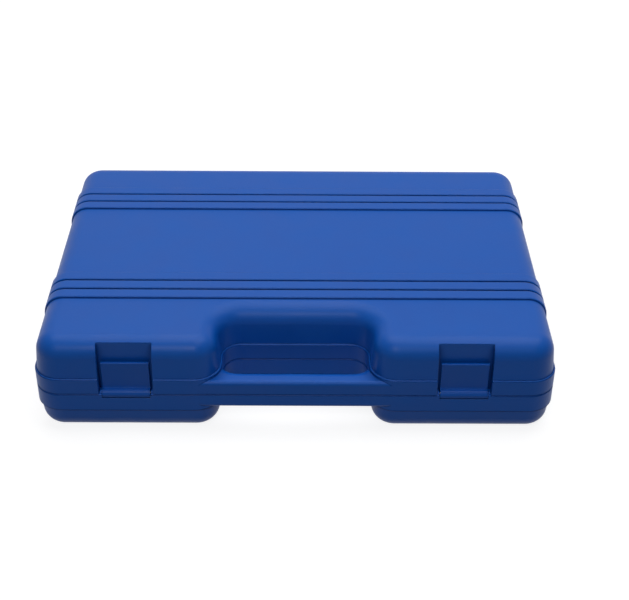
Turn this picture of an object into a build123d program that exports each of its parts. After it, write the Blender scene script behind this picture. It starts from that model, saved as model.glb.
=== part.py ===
"""Blow-moulded tool case: two double-walled halves, two snap latches and two hinge pins.

Millimetres, +Z up. The origin is the middle of the case on the surface it stands on.
The handle is at the front (-Y), the hinge at the back (+Y), and left is -X.
Both halves come from one generator that builds a half upward from the parting plane,
with z = 0 on that plane. The lid is lifted to the parting plane and the base is mirrored.
"""

import os
from dataclasses import dataclass
from math import radians, sqrt, tan

from build123d import *

# Whole case
CASE_LENGTH = 385.0
CASE_DEPTH = 280.0
CASE_HEIGHT = 80.0
PARTING_HEIGHT = 35.4
CORNER_RADIUS = 20.0
SKIN = 2.2
RIM_LAND = 13.0
RIM_EDGE_CUT = 0.9
LEAST_RADIUS = 3.0

# Hand notch in the front of both halves
NOTCH_WIDTH = 109.0
NOTCH_DEPTH = 44.0
NOTCH_INNER_RADIUS = 14.0
NOTCH_LIP_RADIUS = 20.0

# Handle bar, half in the lid and half in the base
HANDLE_DEPTH = 15.5
HANDLE_BACK_RADIUS = 7.0
HANDLE_FRONT_RADIUS = 3.0
HANDLE_END_RADIUS = 13.5
HANDLE_SINK = 1.0
HANDLE_SETBACK = 0.3

# Ribs over the lid
RIB_HEIGHT = 1.6
RIB_WIDTH = 10.6
RIB_PITCH = 12.0
RIB_EDGE_CUT = 0.8
RIB_COUNT = 3
REAR_RIBS_Y = 71.6
FRONT_RIBS_Y = -60.4

# Latch, the recess it closes in, and the pocket and ears that hold it
LATCH_FROM_END = 68.5
LATCH_WIDTH = 35.0
LATCH_THICKNESS = 2.5
LATCH_TOP = 60.8
LATCH_SETBACK = 4.8
LATCH_EDGE_RADIUS = 0.8
LIP_SETBACK = 0.1
LIP_RISE = 1.4
LIP_EDGE_RADIUS = 0.6
BARREL_RADIUS = 4.0
BARREL_DROP = 1.0
BARREL_CLEARANCE = 0.45
EAR_RADIUS = 2.45
EAR_THICKNESS = 2.0
EAR_CLEARANCE = 0.25
RECESS_DEPTH = 9.0
LATCH_PIN_RADIUS = 1.25
KEEPER_RADIUS = 1.2
KEEPER_WIDTH = 24.0
KEEPER_HEIGHT = 53.0
HOOK_RADIUS = 1.3
HOOK_CLEARANCE = 0.15

# Hinge at the back
HINGE_FROM_END = 82.5
HINGE_PROUD = 5.0
KNUCKLE_RADIUS = 3.6
KNUCKLE_LENGTH = 20.0
KNUCKLE_COUNT = 3
KNUCKLE_GAP = 0.4
KNUCKLE_CLEARANCE = 0.4
KNUCKLE_ROOT = 11.0
HINGE_PIN_RADIUS = 1.5
HINGE_PIN_INSET = 0.5

# Fit of every pin in the holes that it turns in
PIN_CLEARANCE = 0.05

# Bays moulded into the base
TIER_DEPTH = 6.0
BAY_MARGIN = 3.0
BAY_WALL = 9.0
REAR_BAY_DEPTH = 84.0
FRONT_BAY_DEPTH = 47.0
SIDE_BAY_LENGTH = 127.5
BAY_DRAFT = 5.0
BAY_CORNER_RADIUS = 9.0
BAY_FLOOR_CUT = 2.5
LID_CAVITY_DRAFT = 3.0
LID_CEILING_CUT = 3.0

# Hollow between the skins: how much of each outer round its straight cut takes
HOLLOW_CUT_SHARE = 0.8
LINING_CUT_SHARE = 0.5

# Shallow panel under the base, so that it stands on its border
FOOT_BORDER = 26.0
FOOT_DEPTH = 1.2

FRONT = -CASE_DEPTH / 2
BACK = CASE_DEPTH / 2 - HINGE_PROUD
LATCH_X = CASE_LENGTH / 2 - LATCH_FROM_END
RECESS_WIDTH = LATCH_WIDTH + 2 * (EAR_THICKNESS + 2 * EAR_CLEARANCE)
LATCH_BACK_Y = FRONT + LATCH_SETBACK + LATCH_THICKNESS
BARREL_Y = FRONT + LIP_SETBACK + BARREL_RADIUS
BARREL_Z = PARTING_HEIGHT - BARREL_DROP
HINGE_X = CASE_LENGTH / 2 - HINGE_FROM_END
HINGE_Y = CASE_DEPTH / 2 - KNUCKLE_RADIUS
HINGE_Z = PARTING_HEIGHT
HINGE_LENGTH = KNUCKLE_COUNT * KNUCKLE_LENGTH + (KNUCKLE_COUNT - 1) * KNUCKLE_GAP


@dataclass
class Half:
    """Sizes of one moulded half, measured away from the parting plane."""

    height: float
    rim_height: float
    rim_step: float
    seam_cut: float
    draft: float
    edge_radius: float
    handle_rise: float
    panel: float
    wall: float


LID = Half(
    height=CASE_HEIGHT - RIB_HEIGHT - PARTING_HEIGHT,
    rim_height=13.8,
    rim_step=1.4,
    seam_cut=0.4,
    draft=5.0,
    edge_radius=14.0,
    handle_rise=11.4,
    panel=0.0,
    wall=8.6,
)
BASE = Half(
    height=PARTING_HEIGHT,
    rim_height=15.4,
    rim_step=1.6,
    seam_cut=0.8,
    draft=6.5,
    edge_radius=13.0,
    handle_rise=11.6,
    panel=FOOT_DEPTH,
    wall=9.4,
)


def plan_corners(inset):
    """Corners of the case's plan with its hand notch, drawn in by inset all the way round."""
    x = CASE_LENGTH / 2 - inset
    front, back = FRONT + inset, BACK - inset
    notch_x = NOTCH_WIDTH / 2 + inset
    notch_y = FRONT + NOTCH_DEPTH + inset
    points = [(x, back), (-x, back), (-x, front), (-notch_x, front)]
    return points + [(-notch_x, notch_y), (notch_x, notch_y), (notch_x, front), (x, front)]


def outline(inset):
    """Plan of the case with its hand notch and round corners, drawn in by inset."""
    corner = max(CORNER_RADIUS - inset, LEAST_RADIUS)
    lip = max(NOTCH_LIP_RADIUS - inset, LEAST_RADIUS)
    inner = NOTCH_INNER_RADIUS + inset
    radii = [corner, corner, corner, lip, inner, inner, lip, corner]
    return make_face(FilletPolyline(*plan_corners(inset), radius=radii, close=True))


def cut_outline(inset, share):
    """The same plan for what no one sees: each outer round is a straight cut, this share of its radius."""
    inner = NOTCH_INNER_RADIUS + inset
    radii = [0, 0, 0, 0, inner, inner, 0, 0]
    plan = make_face(FilletPolyline(*plan_corners(inset), radius=radii, close=True))
    rows = plan.vertices().group_by(Axis.Y)
    return chamfer(rows[0] + rows[-1], share * max(CORNER_RADIUS - inset, LEAST_RADIUS))


def block(x0, x1, y0, y1, z0, z1):
    """A box given by its limits."""
    middle = ((x0 + x1) / 2, (y0 + y1) / 2, (z0 + z1) / 2)
    return Pos(*middle) * Box(x1 - x0, y1 - y0, z1 - z0)


def rod_x(x0, x1, y, z, radius):
    """A cylinder along X."""
    return Pos((x0 + x1) / 2, y, z) * Rot(0, 90, 0) * Cylinder(radius, x1 - x0)


def slab_x(profile, x0, x1):
    """A profile drawn in Y and Z, made solid from x0 to x1."""
    return Pos(x0, 0, 0) * extrude(Plane.YZ * profile, x1 - x0)


def walled_body(half):
    """Body of a half inside its rim: an upright stretch, then a drafted wall with a round edge."""
    plan = outline(half.rim_step)
    high = extrude(plan, half.height - half.rim_height, taper=half.draft)
    high = fillet(high.faces().sort_by(Axis.Z)[-1].edges(), half.edge_radius)
    return extrude(plan, half.rim_height) + Pos(0, 0, half.rim_height) * high


def hollow_body(half):
    """The same body a skin smaller on every side, with its rounds cut straight."""
    plan = cut_outline(half.rim_step + SKIN, HOLLOW_CUT_SHARE)
    rise = half.height - half.rim_height - half.panel - SKIN
    high = extrude(plan, rise, taper=half.draft)
    edges = high.faces().sort_by(Axis.Z)[-1].edges()
    high = chamfer(edges, HOLLOW_CUT_SHARE * (half.edge_radius - SKIN))
    return Pos(0, 0, SKIN) * extrude(plan, half.rim_height - SKIN) + Pos(0, 0, half.rim_height) * high


def rim_band(half):
    """The band that stands proud of the wall along the parting plane."""
    band = extrude(outline(0), half.rim_height)
    band = chamfer(band.faces().sort_by(Axis.Z)[-1].edges(), RIM_EDGE_CUT)
    return chamfer(band.faces().sort_by(Axis.Z)[0].edges(), half.seam_cut)


def handle_half(half):
    """Half of the handle bar, with arms that reach into the case beside the finger gap."""
    reach = NOTCH_WIDTH / 2 + NOTCH_LIP_RADIUS + HANDLE_SINK
    side = NOTCH_WIDTH / 2 + HANDLE_SINK
    front, back = FRONT + HANDLE_SETBACK, FRONT + HANDLE_DEPTH
    arm = back + HANDLE_END_RADIUS + HANDLE_SINK
    points = [(-reach, front), (reach, front), (reach, arm), (side, arm)]
    points += [(side, back), (-side, back), (-side, arm), (-reach, arm)]
    radii = [0, 0, 0, 0, HANDLE_END_RADIUS, HANDLE_END_RADIUS, 0, 0]
    bar = extrude(make_face(FilletPolyline(*points, radius=radii, close=True)), half.handle_rise)

    def beside_fingers(edge):
        middle = edge @ 0.5
        return abs(middle.X) <= side and back <= middle.Y < arm

    crown = bar.edges().filter_by_position(Axis.Z, half.handle_rise, half.handle_rise)
    bar = fillet(crown.filter_by(beside_fingers), HANDLE_BACK_RADIUS)
    crown = bar.edges().filter_by_position(Axis.Z, half.handle_rise, half.handle_rise)
    bar = fillet(crown.sort_by(Axis.Y)[0], HANDLE_FRONT_RADIUS)
    seam = bar.edges().filter_by_position(Axis.Z, 0, 0)
    return chamfer(seam.filter_by(beside_fingers) + seam.sort_by(Axis.Y)[:1], half.seam_cut)


def handle_void(half):
    """Hollow inside the handle bar, which opens into the hollow between the skins."""
    reach = NOTCH_WIDTH / 2 + NOTCH_LIP_RADIUS - HANDLE_FRONT_RADIUS
    y0, y1 = FRONT + HANDLE_SETBACK + SKIN, FRONT + HANDLE_DEPTH - SKIN
    hollow = block(-reach, reach, y0, y1, SKIN, half.handle_rise - SKIN)
    back_edge = hollow.edges().filter_by(Axis.X).sort_by(Axis.Z)[-2:].sort_by(Axis.Y)[-1]
    return chamfer(back_edge, HANDLE_BACK_RADIUS - SKIN)


def rib(half, y):
    """One rib over the top and down both sides, where it springs from the edge of the rim."""
    foot, spring = CASE_LENGTH / 2, half.rim_height - RIM_EDGE_CUT
    crest = half.height + RIB_HEIGHT
    shoulder = foot - (crest - spring) * tan(radians(half.draft))
    points = [(-foot, spring), (-shoulder, crest), (shoulder, crest), (foot, spring)]
    bend = half.edge_radius + RIB_HEIGHT
    section = make_face(FilletPolyline(*points, radius=[0, bend, bend, 0], close=True))
    band = extrude(Plane.XZ * section, RIB_WIDTH / 2, both=True)
    ends = band.faces().filter_by(Axis.Y).edges()
    crests = ends.filter_by(lambda edge: (edge @ 0.5).Z > half.rim_height)
    return Pos(0, y, 0) * chamfer(crests, RIB_EDGE_CUT)


def rib_groups(half):
    """The ribs over the lid, in two groups."""
    middle = (RIB_COUNT - 1) / 2
    steps = [(i - middle) * RIB_PITCH for i in range(RIB_COUNT)]
    return [rib(half, group + step) for group in (REAR_RIBS_Y, FRONT_RIBS_Y) for step in steps]


def lid_cavity():
    """Room inside the lid."""
    room = extrude(outline(RIM_LAND), LID.height - LID.wall, taper=LID_CAVITY_DRAFT)
    return chamfer(room.faces().sort_by(Axis.Z)[-1].edges(), LID_CEILING_CUT)


def lid_lining():
    """Room inside the lid with the skin around it."""
    plan = cut_outline(RIM_LAND - SKIN, LINING_CUT_SHARE)
    return extrude(plan, LID.height - LID.wall + SKIN, taper=LID_CAVITY_DRAFT)


def bay(x0, x1, y0, y1):
    """A drafted bay below the tier of the base."""
    plan = RectangleRounded(x1 - x0, y1 - y0, BAY_CORNER_RADIUS)
    room = extrude(plan, BASE.height - BASE.wall - TIER_DEPTH, taper=BAY_DRAFT)
    room = chamfer(room.faces().sort_by(Axis.Z)[-1].edges(), BAY_FLOOR_CUT)
    return Pos((x0 + x1) / 2, (y0 + y1) / 2, TIER_DEPTH) * room


def bay_lining(x0, x1, y0, y1):
    """A bay with the skin around it."""
    floor = BASE.height - BASE.wall + SKIN
    return block(x0 - SKIN, x1 + SKIN, y0 - SKIN, y1 + SKIN, TIER_DEPTH, floor)


def base_bays():
    """Limits of the five bays: one behind, two across the middle, one each side of the notch."""
    inset = RIM_LAND + BAY_MARGIN
    x = CASE_LENGTH / 2 - inset
    rear_y = BACK - inset - REAR_BAY_DEPTH
    front_y = FRONT + inset + FRONT_BAY_DEPTH
    middle = (front_y + BAY_WALL, rear_y - BAY_WALL)
    notch_x = NOTCH_WIDTH / 2 + inset
    split = x - SIDE_BAY_LENGTH
    return [
        (-x, x, rear_y, BACK - inset),
        (-x, split - BAY_WALL, *middle),
        (split, x, *middle),
        (-x, -notch_x, FRONT + inset, front_y),
        (notch_x, x, FRONT + inset, front_y),
    ]


def base_cavity():
    """Room inside the base: a shallow tier over the whole plan, then the bays."""
    room = extrude(outline(RIM_LAND), TIER_DEPTH)
    for limits in base_bays():
        room += bay(*limits)
    return room


def base_lining():
    """Room inside the base with the skin around it."""
    room = extrude(cut_outline(RIM_LAND - SKIN, LINING_CUT_SHARE), TIER_DEPTH + SKIN)
    for limits in base_bays():
        room += bay_lining(*limits)
    return room


def solid_zones(half):
    """Where the two skins are pressed together: round the latches and the hinge knuckles."""
    wide = RECESS_WIDTH / 2 + SKIN
    deep = FRONT + RECESS_DEPTH + SKIN
    zones = [block(x - wide, x + wide, FRONT, deep, 0, half.height) for x in (-LATCH_X, LATCH_X)]
    long = HINGE_LENGTH / 2 + SKIN
    round_hinge = KNUCKLE_RADIUS + KNUCKLE_CLEARANCE + SKIN
    near = HINGE_Y - round_hinge
    zones += [block(x - long, x + long, near, BACK, 0, round_hinge) for x in (-HINGE_X, HINGE_X)]
    return zones


def hollow(half, lining):
    """The closed space between the outer and the inner skin of a half."""
    space = hollow_body(half) + handle_void(half)
    for zone in solid_zones(half):
        space -= zone
    return space - lining


def knuckle_spans(x, of_base):
    """Where along X the knuckles of one half lie at a hinge. The outer ones are the base's."""
    start = x - HINGE_LENGTH / 2
    step = KNUCKLE_LENGTH + KNUCKLE_GAP
    spans = [(start + i * step, start + i * step + KNUCKLE_LENGTH) for i in range(KNUCKLE_COUNT)]
    return spans[0::2] if of_base else spans[1::2]


def knuckle(x0, x1):
    """A knuckle with the web that carries it, drawn down the back wall from its crown."""
    crown = Pos(HINGE_Y, 0) * Circle(KNUCKLE_RADIUS)
    root = Pos(BACK - SKIN / 2, KNUCKLE_ROOT - SKIN / 2) * Rectangle(SKIN, SKIN)
    return slab_x(make_hull(crown.edges() + root.edges()), x0, x1)


def hinged(half_solid, of_base):
    """A half with its own knuckles, room for those of the other half, and the pin's bore."""
    for x in (-HINGE_X, HINGE_X):
        reach = KNUCKLE_RADIUS + KNUCKLE_CLEARANCE
        for x0, x1 in knuckle_spans(x, not of_base):
            half_solid -= rod_x(x0 - KNUCKLE_GAP, x1 + KNUCKLE_GAP, HINGE_Y, 0, reach)
        for x0, x1 in knuckle_spans(x, of_base):
            half_solid += knuckle(x0, x1)
        bore = HINGE_LENGTH / 2 + KNUCKLE_GAP
        half_solid -= rod_x(x - bore, x + bore, HINGE_Y, 0, HINGE_PIN_RADIUS + PIN_CLEARANCE)
    return half_solid


def keeper(x):
    """The bead in the lid's recess that the hook of a latch snaps over."""
    z = KEEPER_HEIGHT - PARTING_HEIGHT
    return rod_x(x - KEEPER_WIDTH / 2, x + KEEPER_WIDTH / 2, FRONT + RECESS_DEPTH, z, KEEPER_RADIUS)


def make_lid():
    """The upper half, with its ribs, latch recesses and keepers."""
    lid = walled_body(LID) + rim_band(LID) + handle_half(LID)
    for one in rib_groups(LID):
        lid += one
    for x in (-LATCH_X, LATCH_X):
        half_width = RECESS_WIDTH / 2
        deep = FRONT + RECESS_DEPTH
        lid -= block(x - half_width, x + half_width, FRONT - SKIN, deep, -SKIN, CASE_HEIGHT)
        lid += keeper(x)
    lid = hinged(lid - lid_cavity(), of_base=False)
    return Pos(0, 0, PARTING_HEIGHT) * (lid - hollow(LID, lid_lining()))


def latch_seat(base, x):
    """The base with the pocket, ears and pin hole of the latch at x."""
    pocket = RECESS_WIDTH / 2 - EAR_CLEARANCE - EAR_THICKNESS
    outside = RECESS_WIDTH / 2 - EAR_CLEARANCE
    base += rod_x(x - outside, x + outside, BARREL_Y, BARREL_DROP, EAR_RADIUS)
    base -= rod_x(x - pocket, x + pocket, BARREL_Y, BARREL_DROP, BARREL_RADIUS + BARREL_CLEARANCE)
    return base - rod_x(x - outside, x + outside, BARREL_Y, BARREL_DROP, LATCH_PIN_RADIUS + PIN_CLEARANCE)


def make_base():
    """The lower half, with its bays, latch seats and the panel that it stands round."""
    base = walled_body(BASE) + rim_band(BASE) + handle_half(BASE)
    base -= Pos(0, 0, BASE.height - FOOT_DEPTH) * extrude(outline(FOOT_BORDER), 2 * FOOT_DEPTH)
    base = hinged(base - base_cavity(), of_base=True)
    base -= hollow(BASE, base_lining())
    for x in (-LATCH_X, LATCH_X):
        base = latch_seat(base, x)
    return Pos(0, 0, PARTING_HEIGHT) * mirror(base, Plane.XY)


def latch_profile():
    """Side view of a latch about its pin: barrel, plate, and a sweep from the plate out to the lip."""
    sweep = LATCH_SETBACK - LIP_SETBACK
    face = sweep - BARREL_RADIUS
    top = LATCH_TOP - BARREL_Z
    plate = Pos(face + LATCH_THICKNESS / 2, top / 2) * Rectangle(LATCH_THICKNESS, top)
    foot_height = LIP_RISE + sweep
    foot = Pos(face - sweep / 2, foot_height / 2) * Rectangle(sweep, foot_height)
    foot -= Pos(face - sweep, foot_height) * Circle(sweep)
    foot = fillet(foot.vertices().group_by(Axis.X)[0].sort_by(Axis.Y)[-1], LIP_EDGE_RADIUS)
    return Circle(BARREL_RADIUS) + plate + foot


def hook_height():
    """Height of the hook's centre, which clears the keeper by the hook clearance."""
    across = FRONT + RECESS_DEPTH - LATCH_BACK_Y
    apart = KEEPER_RADIUS + HOOK_RADIUS + HOOK_CLEARANCE
    return KEEPER_HEIGHT + sqrt(apart**2 - across**2)


def make_latch(x):
    """A latch on its barrel, with the hook bead on its back and a bore for its pin."""
    half_width = LATCH_WIDTH / 2
    body = Pos(0, BARREL_Y, BARREL_Z) * slab_x(latch_profile(), -half_width, half_width)
    top = body.faces().sort_by(Axis.Z)[-1]
    body = fillet(top.edges().filter_by(Axis.X), LATCH_EDGE_RADIUS)
    body += rod_x(-KEEPER_WIDTH / 2, KEEPER_WIDTH / 2, LATCH_BACK_Y, hook_height(), HOOK_RADIUS)
    bore = LATCH_PIN_RADIUS + PIN_CLEARANCE
    return Pos(x, 0, 0) * (body - rod_x(-half_width, half_width, BARREL_Y, BARREL_Z, bore))


def make_latch_pin(x):
    """The pin through a latch's barrel, which ends just inside the outer face of both ears."""
    reach = RECESS_WIDTH / 2 - 2 * EAR_CLEARANCE
    return rod_x(x - reach, x + reach, BARREL_Y, BARREL_Z, LATCH_PIN_RADIUS)


def make_hinge_pin(x):
    """The rod through the knuckles of one hinge."""
    reach = HINGE_LENGTH / 2 - HINGE_PIN_INSET
    return rod_x(x - reach, x + reach, HINGE_Y, HINGE_Z, HINGE_PIN_RADIUS)


def main():
    """Writes one file for each piece."""
    os.makedirs("parts", exist_ok=True)
    pieces = {"base_shell": make_base(), "lid_shell": make_lid()}
    for side, sign in (("left", -1), ("right", 1)):
        pieces[f"latch_{side}"] = make_latch(sign * LATCH_X)
        pieces[f"latch_pin_{side}"] = make_latch_pin(sign * LATCH_X)
        pieces[f"hinge_pin_{side}"] = make_hinge_pin(sign * HINGE_X)
    for name, piece in pieces.items():
        export_step(piece, f"parts/{name}.step")


main()
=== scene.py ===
"""Looks of the blow-moulded tool case: its plastics, its steel pins, and the table it lies on."""

import math

import bpy
from mathutils import Matrix, Vector

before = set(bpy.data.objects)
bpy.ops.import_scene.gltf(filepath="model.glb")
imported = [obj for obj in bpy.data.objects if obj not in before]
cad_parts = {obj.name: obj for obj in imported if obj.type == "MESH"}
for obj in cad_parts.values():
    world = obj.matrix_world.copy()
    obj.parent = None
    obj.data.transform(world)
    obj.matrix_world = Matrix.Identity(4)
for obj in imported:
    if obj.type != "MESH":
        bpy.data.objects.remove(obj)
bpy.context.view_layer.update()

# Camera
# A tripod camera in front of the case, a little right of its middle, that looks down at 34.6 degrees
# through a lens of about 73 mm. Place, turn and lens come from the edges of the case in the picture.
CAMERA_PLACE = (0.00748, -0.86638, 0.62159)
LOOK_DOWN = 34.593
LOOK_RIGHT = 0.474
LEAN = 0.515
FOCAL_PIXELS = 1268.5
PICTURE_PIXELS = 629
SENSOR_WIDTH = 36.0

camera = bpy.data.objects.new("camera", bpy.data.cameras.new("camera"))
camera.data.sensor_width = SENSOR_WIDTH
camera.data.lens = FOCAL_PIXELS * SENSOR_WIDTH / PICTURE_PIXELS
turn = Matrix.Rotation(math.radians(-LOOK_RIGHT), 4, "Z")
tilt = Matrix.Rotation(math.radians(90 - LOOK_DOWN), 4, "X")
roll = Matrix.Rotation(math.radians(LEAN), 4, "Z")
camera.matrix_world = Matrix.Translation(CAMERA_PLACE) @ turn @ tilt @ roll
bpy.context.scene.collection.objects.link(camera)
bpy.context.scene.camera = camera


# Case halves
# The lower half and the lid, each one double-walled moulding of high-density polyethylene, blown in a
# bead-blasted steel mould. The lid has its ribs and latch recesses, and each half has its own half of
# the handle bar.
def linear(colour):
    """An sRGB hex colour as linear RGBA."""
    parts = [int(colour[i : i + 2], 16) / 255 for i in (1, 3, 5)]
    return tuple(c / 12.92 if c <= 0.04045 else ((c + 0.055) / 1.055) ** 2.4 for c in parts) + (1.0,)


def add(tree, kind, values=None, **settings):
    """Adds a node. Settings are the node's own; values are links or constants for its inputs."""
    node = tree.nodes.new(kind)
    for name, value in settings.items():
        setattr(node, name, value)
    for name, value in (values or {}).items():
        if isinstance(value, bpy.types.NodeSocket):
            tree.links.new(value, node.inputs[name])
        else:
            node.inputs[name].default_value = value
    return node


def new_tree(owner):
    """The empty node tree of a material or of the world."""
    owner.use_nodes = True
    owner.node_tree.nodes.clear()
    return owner.node_tree


def handled_edge(tree, radius, least, most):
    """The normals of a rounded edge and of its flat face, and how worn the edge is, from 0 to most."""
    edge = add(tree, "ShaderNodeBevel", {"Radius": radius}, samples=6).outputs["Normal"]
    face = add(tree, "ShaderNodeNewGeometry").outputs["Normal"]
    flush = add(tree, "ShaderNodeVectorMath", {0: edge, 1: face}, operation="DOT_PRODUCT")
    worn = add(
        tree,
        "ShaderNodeMapRange",
        {
            "Value": flush.outputs["Value"],
            "From Min": least,
            "From Max": EDGE_TURNED,
            "To Min": 0.0,
            "To Max": most,
        },
    )
    return edge, face, worn.outputs["Result"]


def dress(nodes, material):
    """Gives CAD nodes their material."""
    for node in nodes:
        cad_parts[node].data.materials.clear()
        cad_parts[node].data.materials.append(material)


EDGE_TURNED = 0.80  # how far a normal has turned, as a cosine, where an edge is worn most
CASE_BLUE = "#0050AE"
CASE_BLUE_PALER = "#0C58B4"
# paler blue for edges that face up, partly rubbing and partly painted highlight
CASE_RUBBED_AND_LIT = "#2E6CBE"
# the dark blue below is painted shade, put in hollows and under edges that turn down
CASE_PAINTED_SHADE = "#001A50"
CASE_IOR = 1.54
CASE_SHEEN = 0.18
CASE_GLOSS = (0.36, 0.46)
BLAST_GRAIN = 0.0014  # real grain is 0.3 mm, drawn coarser so that it shows
GRAIN_DEPTH = 0.00006
SINK_WIDTH = 0.055
SINK_DEPTH = 0.0003
RUB_WIDTH = 0.028
RUB_AND_HIGHLIGHT_MOST = 0.6
EDGE_ROUND = 0.0012
# how far hollows reach, and how much painted shade the seams and the hollows take
HOLLOW_REACH = 0.022
SEAM_PAINTED_SHADE = 0.9
HOLLOW_PAINTED_SHADE = 0.8


def blown_polyethylene(name, offset):
    """Satin from the blasted mould over shallow sinks, with edges that face up rubbed and painted paler,
    and painted shade, a darker blue, in hollows and under edges.
    """
    material = bpy.data.materials.new(name)
    tree = new_tree(material)
    place = add(tree, "ShaderNodeTexCoord").outputs["Object"]
    place = add(tree, "ShaderNodeMapping", {"Vector": place, "Location": offset}).outputs["Vector"]
    grain = add(tree, "ShaderNodeTexNoise", {"Vector": place, "Scale": 1 / BLAST_GRAIN, "Detail": 2.0})
    sink = add(tree, "ShaderNodeTexNoise", {"Vector": place, "Scale": 1 / SINK_WIDTH, "Detail": 0.0})
    rub = add(tree, "ShaderNodeTexNoise", {"Vector": place, "Scale": 1 / RUB_WIDTH, "Detail": 6.0})
    rub = rub.outputs["Fac"]
    tone = add(
        tree,
        "ShaderNodeMix",
        {"Factor": rub, "A": linear(CASE_BLUE), "B": linear(CASE_BLUE_PALER)},
        data_type="RGBA",
    )

    # Only edges that face up are painted paler, partly as rubbing and partly as a painted highlight where
    # light from above catches them, in the same patches as the colour.
    edge, face, worn = handled_edge(tree, EDGE_ROUND, 0.99, RUB_AND_HIGHLIGHT_MOST)
    edge_up = add(tree, "ShaderNodeSeparateXYZ", {"Vector": edge}).outputs["Z"]
    face_up = add(tree, "ShaderNodeSeparateXYZ", {"Vector": face}).outputs["Z"]
    worn = add(tree, "ShaderNodeMath", {0: worn, 1: rub}, operation="MULTIPLY").outputs[0]
    worn = add(tree, "ShaderNodeMath", {0: worn, 1: edge_up}, operation="MULTIPLY", use_clamp=True)
    colour = add(
        tree,
        "ShaderNodeMix",
        {"Factor": worn.outputs[0], "A": tone.outputs["Result"], "B": linear(CASE_RUBBED_AND_LIT)},
        data_type="RGBA",
    )

    # Painted shade: edges that turn down, as along the parting line, and hollows are painted a darker blue
    # with less sheen.
    turned = add(tree, "ShaderNodeMath", {0: face_up, 1: edge_up}, operation="SUBTRACT").outputs[0]
    painted_seam_shade = add(
        tree,
        "ShaderNodeMapRange",
        {"Value": turned, "From Min": 0.02, "From Max": 0.2, "To Min": 0.0, "To Max": SEAM_PAINTED_SHADE},
    )
    hollow = add(tree, "ShaderNodeAmbientOcclusion", {"Distance": HOLLOW_REACH}, samples=8, only_local=True)
    painted_hollow_shade = add(
        tree,
        "ShaderNodeMapRange",
        {
            "Value": hollow.outputs["AO"],
            "From Min": 0.88,
            "From Max": 0.35,
            "To Min": 0.0,
            "To Max": HOLLOW_PAINTED_SHADE,
        },
    )
    painted_shade = add(
        tree,
        "ShaderNodeMath",
        {0: painted_seam_shade.outputs["Result"], 1: painted_hollow_shade.outputs["Result"]},
        operation="MAXIMUM",
    ).outputs[0]
    colour = add(
        tree,
        "ShaderNodeMix",
        {"Factor": painted_shade, "A": colour.outputs["Result"], "B": linear(CASE_PAINTED_SHADE)},
        data_type="RGBA",
    )
    # The painted shade also takes the sheen away.
    sheen = add(
        tree,
        "ShaderNodeMapRange",
        {"Value": painted_shade, "From Min": 0.0, "From Max": SEAM_PAINTED_SHADE, "To Min": CASE_SHEEN, "To Max": 0.0},
    )

    gloss = add(
        tree,
        "ShaderNodeMapRange",
        {"Value": rub, "From Min": 0.3, "From Max": 0.7, "To Min": CASE_GLOSS[0], "To Max": CASE_GLOSS[1]},
    )
    waves = add(
        tree,
        "ShaderNodeBump",
        {"Height": sink.outputs["Fac"], "Normal": edge, "Distance": SINK_DEPTH},
    )
    satin = add(
        tree,
        "ShaderNodeBump",
        {"Height": grain.outputs["Fac"], "Normal": waves.outputs["Normal"], "Distance": GRAIN_DEPTH},
    )
    skin = add(
        tree,
        "ShaderNodeBsdfPrincipled",
        {
            "Base Color": colour.outputs["Result"],
            "Roughness": gloss.outputs["Result"],
            "Normal": satin.outputs["Normal"],
            "IOR": CASE_IOR,
            "Specular IOR Level": sheen.outputs["Result"],
        },
    )
    add(tree, "ShaderNodeOutputMaterial", {"Surface": skin.outputs["BSDF"]})
    return material


# The offsets keep the patches of the two halves from lining up.
for node, offset in (("base_shell", (0.0, 0.0, 0.0)), ("lid_shell", (0.4, 0.3, 0.2))):
    dress([node], blown_polyethylene("blow_moulded_hdpe_" + node, offset))

# Latches
# Two snap latches, injection-moulded in polypropylene of the same blue, each on its own steel pin
# between ears of the lower half. A polished mould leaves them smoother than the blown case.
LATCH_BLUE = "#0450AC"
LATCH_HANDLED = "#3A72C0"
LATCH_IOR = 1.49
LATCH_SHEEN = 0.17
LATCH_GLOSS = (0.30, 0.38)
FLOW_WIDTH = 0.012
LATCH_GRAIN = 0.0008  # real grain is about 0.1 mm, drawn coarser so that it shows
LATCH_GRAIN_DEPTH = 0.000015
LIP_ROUND = 0.0007
HANDLED_MOST = 0.35

# Fine satin with faint flow marks up the latch, paler where its corners have been handled.
material = bpy.data.materials.new("injection_moulded_polypropylene")
tree = new_tree(material)
place = add(tree, "ShaderNodeTexCoord").outputs["Object"]
along = add(tree, "ShaderNodeMapping", {"Vector": place, "Scale": (1.0, 1.0, 0.25)}).outputs["Vector"]
flow = add(tree, "ShaderNodeTexNoise", {"Vector": along, "Scale": 1 / FLOW_WIDTH, "Detail": 4.0})
grain = add(tree, "ShaderNodeTexNoise", {"Vector": place, "Scale": 1 / LATCH_GRAIN, "Detail": 2.0})
edge, face, worn = handled_edge(tree, LIP_ROUND, 0.99, HANDLED_MOST)
colour = add(
    tree,
    "ShaderNodeMix",
    {"Factor": worn, "A": linear(LATCH_BLUE), "B": linear(LATCH_HANDLED)},
    data_type="RGBA",
)
gloss = add(
    tree,
    "ShaderNodeMapRange",
    {
        "Value": flow.outputs["Fac"],
        "From Min": 0.3,
        "From Max": 0.7,
        "To Min": LATCH_GLOSS[0],
        "To Max": LATCH_GLOSS[1],
    },
)
satin = add(
    tree,
    "ShaderNodeBump",
    {"Height": grain.outputs["Fac"], "Normal": edge, "Distance": LATCH_GRAIN_DEPTH},
)
skin = add(
    tree,
    "ShaderNodeBsdfPrincipled",
    {
        "Base Color": colour.outputs["Result"],
        "Roughness": gloss.outputs["Result"],
        "Normal": satin.outputs["Normal"],
        "IOR": LATCH_IOR,
        "Specular IOR Level": LATCH_SHEEN,
    },
)
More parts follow.
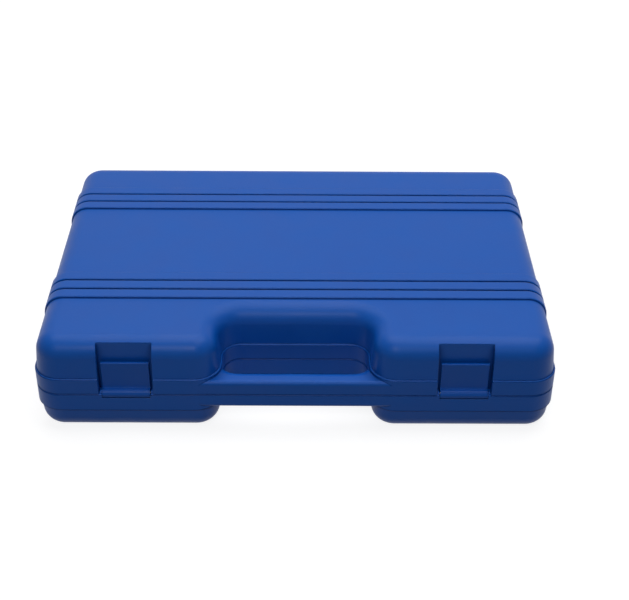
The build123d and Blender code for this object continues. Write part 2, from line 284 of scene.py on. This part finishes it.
add(tree, "ShaderNodeOutputMaterial", {"Surface": skin.outputs["BSDF"]})
dress(("latch_left", "latch_right"), material)

# Pins
# The rods that the latches and the lid turn on, cut from drawn steel wire and zinc plated. They lie
# along X inside the ears and the knuckles, so at most their ends show.
ZINC = "#B9BCBE"
ZINC_DULL = "#8E9294"
ZINC_GLOSS = (0.28, 0.42)
DRAW_WIDTH = 0.00015  # real draw lines are about 0.02 mm apart, drawn coarser so that they show
DRAW_DEPTH = 0.000008
PLATE_WIDTH = 0.0012
CUT_ROUND = 0.0003
THIN_MOST = 0.5

# Thin draw lines along the wire, under plating that has gone dull in patches and at the cut ends.
material = bpy.data.materials.new("zinc_plated_drawn_wire")
tree = new_tree(material)
place = add(tree, "ShaderNodeTexCoord").outputs["Object"]
along = add(tree, "ShaderNodeMapping", {"Vector": place, "Scale": (0.02, 1.0, 1.0)}).outputs["Vector"]
lines = add(tree, "ShaderNodeTexNoise", {"Vector": along, "Scale": 1 / DRAW_WIDTH, "Detail": 3.0})
patch = add(tree, "ShaderNodeTexNoise", {"Vector": place, "Scale": 1 / PLATE_WIDTH, "Detail": 4.0})
edge, face, worn = handled_edge(tree, CUT_ROUND, 0.98, THIN_MOST)
dull = add(
    tree,
    "ShaderNodeMath",
    {0: worn, 1: patch.outputs["Fac"]},
    operation="ADD",
    use_clamp=True,
)
colour = add(
    tree,
    "ShaderNodeMix",
    {"Factor": dull.outputs[0], "A": linear(ZINC), "B": linear(ZINC_DULL)},
    data_type="RGBA",
)
gloss = add(
    tree,
    "ShaderNodeMapRange",
    {
        "Value": patch.outputs["Fac"],
        "From Min": 0.3,
        "From Max": 0.7,
        "To Min": ZINC_GLOSS[0],
        "To Max": ZINC_GLOSS[1],
    },
)
drawn = add(
    tree,
    "ShaderNodeBump",
    {"Height": lines.outputs["Fac"], "Normal": edge, "Distance": DRAW_DEPTH},
)
skin = add(
    tree,
    "ShaderNodeBsdfPrincipled",
    {
        "Base Color": colour.outputs["Result"],
        "Metallic": 1.0,
        "Roughness": gloss.outputs["Result"],
        "Normal": drawn.outputs["Normal"],
    },
)
add(tree, "ShaderNodeOutputMaterial", {"Surface": skin.outputs["BSDF"]})
dress(("latch_pin_left", "latch_pin_right", "hinge_pin_left", "hinge_pin_right"), material)

# Table
# The white table top that the case lies on, far wider than the picture. Away from the case it shows
# as white as the backdrop, while near it the case's shadow is kept. It throws less light back on the
# case than it shows.
TABLE_WIDTH = 8.0
TABLE_BOUNCE = "#848484"
TABLE_SHADED = "#959595"
TABLE_GLOW = 0.85
GLOW_RISES = (0.45, 1.5)


def seen_directly(tree):
    """1 for rays that show a background, straight or in a reflection, and 0 for light that it gives."""
    rays = add(tree, "ShaderNodeLightPath")
    seen = add(
        tree,
        "ShaderNodeMath",
        {0: rays.outputs["Is Camera Ray"], 1: rays.outputs["Is Glossy Ray"]},
        operation="MAXIMUM",
    )
    seen = add(
        tree,
        "ShaderNodeMath",
        {0: seen.outputs[0], 1: rays.outputs["Is Transmission Ray"]},
        operation="MAXIMUM",
    )
    return seen.outputs[0]


bpy.ops.mesh.primitive_grid_add(size=TABLE_WIDTH, x_subdivisions=2, y_subdivisions=2)
table = bpy.context.object
table.name = "table"
material = bpy.data.materials.new("white_table")
tree = new_tree(material)
bounce = add(tree, "ShaderNodeBsdfDiffuse", {"Color": linear(TABLE_BOUNCE)})
shaded = add(tree, "ShaderNodeBsdfDiffuse", {"Color": linear(TABLE_SHADED)})
place = add(tree, "ShaderNodeTexCoord").outputs["Object"]
away = add(tree, "ShaderNodeVectorMath", {0: place}, operation="LENGTH")
bright = add(
    tree,
    "ShaderNodeMapRange",
    {
        "Value": away.outputs["Value"],
        "From Min": GLOW_RISES[0],
        "From Max": GLOW_RISES[1],
        "To Min": TABLE_GLOW,
        "To Max": 1.0,
    },
)
glow = add(tree, "ShaderNodeEmission", {"Color": (1, 1, 1, 1), "Strength": bright.outputs["Result"]})
white = add(tree, "ShaderNodeAddShader", {0: shaded.outputs[0], 1: glow.outputs[0]})
top = add(tree, "ShaderNodeMixShader", {0: seen_directly(tree), 1: bounce.outputs[0], 2: white.outputs[0]})
add(tree, "ShaderNodeOutputMaterial", {"Surface": top.outputs[0]})
table.data.materials.append(material)

# Light
# A large soft box above the case, a little behind its middle, and a small weaker one in front that
# brightens the rounded edges. The table and a faint world light fill the front faces.
ROOM_FILL = 0.02
BACKDROP = 1.0
SOFT_BOXES = (
    # name, place, width, depth, watts
    ("soft_box", (0.10, 0.22, 1.22), 1.6, 1.2, 14.3),
    ("front_box", (-0.16, -1.15, 1.15), 0.50, 0.25, 5.0),
)

world = bpy.data.worlds.new("studio")
bpy.context.scene.world = world
tree = new_tree(world)
room = add(tree, "ShaderNodeBackground", {"Color": (1, 1, 1, 1), "Strength": ROOM_FILL})
white = add(tree, "ShaderNodeBackground", {"Color": (1, 1, 1, 1), "Strength": BACKDROP})
sky = add(tree, "ShaderNodeMixShader", {0: seen_directly(tree), 1: room.outputs[0], 2: white.outputs[0]})
add(tree, "ShaderNodeOutputWorld", {"Surface": sky.outputs[0]})

for name, place, width, depth, watts in SOFT_BOXES:
    lamp = bpy.data.lights.new(name, "AREA")
    lamp.shape = "RECTANGLE"
    lamp.size = width
    lamp.size_y = depth
    lamp.energy = watts
    box = bpy.data.objects.new(name, lamp)
    box.location = place
    box.rotation_euler = Vector(place).to_track_quat("Z", "Y").to_euler()
    bpy.context.scene.collection.objects.link(box)

bpy.context.scene.view_settings.view_transform = "Standard"
